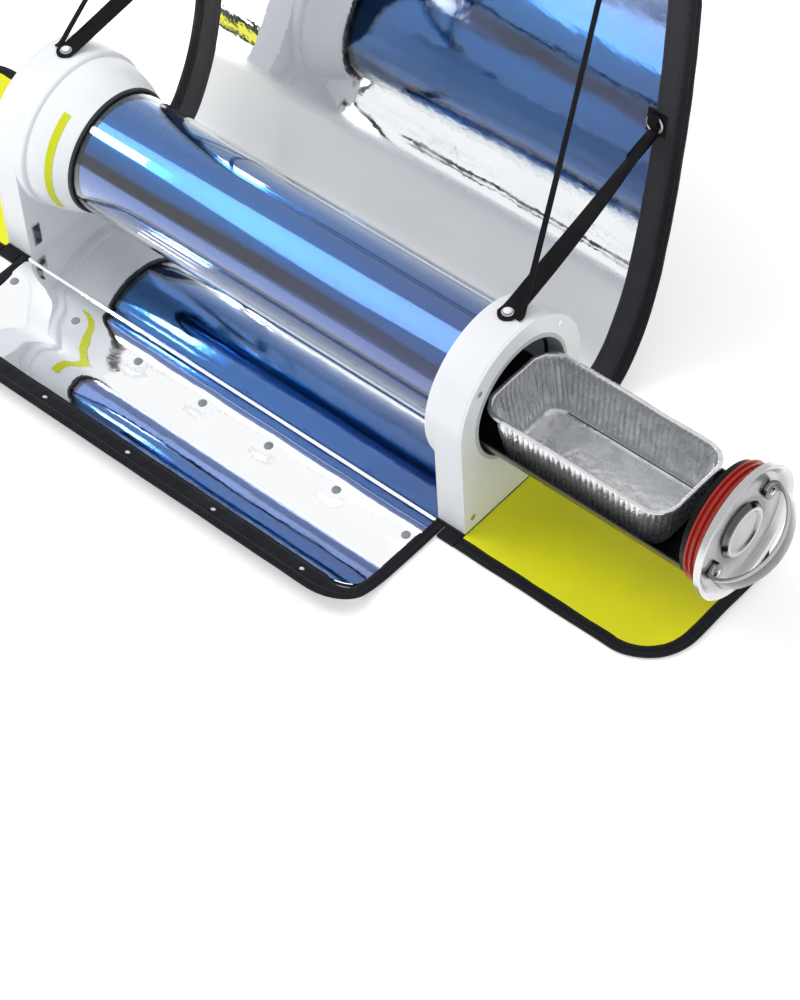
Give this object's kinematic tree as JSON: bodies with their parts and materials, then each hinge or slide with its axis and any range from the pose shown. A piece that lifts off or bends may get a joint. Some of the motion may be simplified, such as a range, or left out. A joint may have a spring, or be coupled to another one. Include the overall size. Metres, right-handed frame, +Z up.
{
  "type": "box solar cooker",
  "caption": "Solar cooker with a vacuum glass tube on two supports, a pull-out tray with a foil pan, and a folding soft case with a mirrored inside.",
  "frame": {"origin": "centre of the base panel's underside, midway between the two end supports, on the ground", "axes": "+X along the glass tube from its closed end to the tray's handle, +Y to the tall back wing, +Z up"},
  "size_m": [1.2191, 0.5293, 0.4817],
  "materials": {
    "case_board": "woven, matt",
    "mirror_film": "polished film, slightly wavy",
    "binding": "woven tape, matt",
    "grey_border": "woven tape, matt",
    "white_plastic": "fine-grained moulding",
    "grey_rubber": "satin",
    "black_rubber": "matt",
    "lime_stripe": "satin",
    "bright_steel": "brushed",
    "dark_screw": "blackened",
    "clear_glass": "clear, polished",
    "blue_absorber": "coated, deep blue",
    "getter_steel": "bright",
    "tray_enamel": "black, satin",
    "plug_plastic": "matt",
    "red_silicone": "satin",
    "foil": "bright foil, wrinkled",
    "grey_rivet": "satin",
    "white_tack": "satin",
    "strap_web": "woven webbing",
    "flap_cloth": "woven nylon",
    "lime_lining": "woven nylon, satin"
  },
  "bodies": {
    "base": {"base_shell": "case_board", "base_mirror": "mirror_film", "base_edge_strips": "binding", "right_support_body": "white_plastic", "right_support_face": "white_plastic", "mouth_gasket": "grey_rubber", "right_tube_bushing": "black_rubber", "left_support_body": "white_plastic", "left_support_cover": "white_plastic", "left_collar": "white_plastic", "collar_stripe": "lime_stripe", "collar_ring": "black_rubber", "left_tube_cushion": "black_rubber", "latch_plate": "bright_steel", "latch_screws": "dark_screw", "cover_screws": "bright_steel", "base_screws": "bright_steel", "outer_glass_tube": "clear_glass", "absorber_tube": "blue_absorber", "getter_clip": "getter_steel", "tip_cap": "black_rubber", "strap_studs": "white_plastic", "strap_grommets": "bright_steel", "right_wide_strap": "strap_web", "left_wide_strap": "strap_web", "right_thin_strap": "strap_web", "left_thin_strap": "strap_web"},
    "tray": {"tray_trough": "tray_enamel", "tray_plug": "plug_plastic", "silicone_seal": "red_silicone", "end_plate": "bright_steel", "handle": "bright_steel", "handle_rivets": "bright_steel"},
    "pan": {"loaf_pan": "foil"},
    "front_wing": {"front_wing_shell": "case_board", "front_wing_mirror": "mirror_film", "front_wing_binding": "binding", "front_wing_rivets": "grey_rivet", "front_wing_tacks": "white_tack"},
    "back_wing": {"back_wing_shell": "case_board", "back_wing_mirror": "mirror_film", "back_wing_border": "grey_border", "back_wing_binding": "binding", "strap_tabs": "strap_web", "tab_rings": "bright_steel", "thin_strap_tabs": "strap_web"},
    "right_flap": {"right_flap_shell": "flap_cloth", "right_flap_lining": "lime_lining", "right_flap_binding": "binding"},
    "left_flap": {"left_flap_shell": "flap_cloth", "left_flap_lining": "lime_lining", "left_flap_binding": "binding"}
  },
  "joints": [
    {"name": "tray_slide", "type": "slide", "parent": "base", "child": "tray", "axis": [1, 0, 0], "range_m": [-0.2635, 0.27]},
    {"name": "pan_lift", "type": "slide", "parent": "tray", "child": "pan", "axis": [0, 0, 1], "range_m": [0, 0.012]},
    {"name": "front_wing_hinge", "type": "hinge", "parent": "base", "child": "front_wing", "pos_m": [0, -0.09325, 0.005], "axis": [-1, 0, 0], "range_deg": [0, 80]},
    {"name": "back_wing_hinge", "type": "hinge", "parent": "base", "child": "back_wing", "pos_m": [0, 0.09325, 0.005], "axis": [1, 0, 0], "range_deg": [0, 46], "deforming": ["right_wide_strap", "left_wide_strap", "right_thin_strap", "left_thin_strap"]},
    {"name": "right_flap_hinge", "type": "hinge", "parent": "base", "child": "right_flap", "pos_m": [0.32525, 0, 0.005], "axis": [0, -1, 0], "range_deg": [0, 11]},
    {"name": "left_flap_hinge", "type": "hinge", "parent": "base", "child": "left_flap", "pos_m": [-0.32525, 0, 0.005], "axis": [0, 1, 0], "range_deg": [0, 85]}
  ]
}
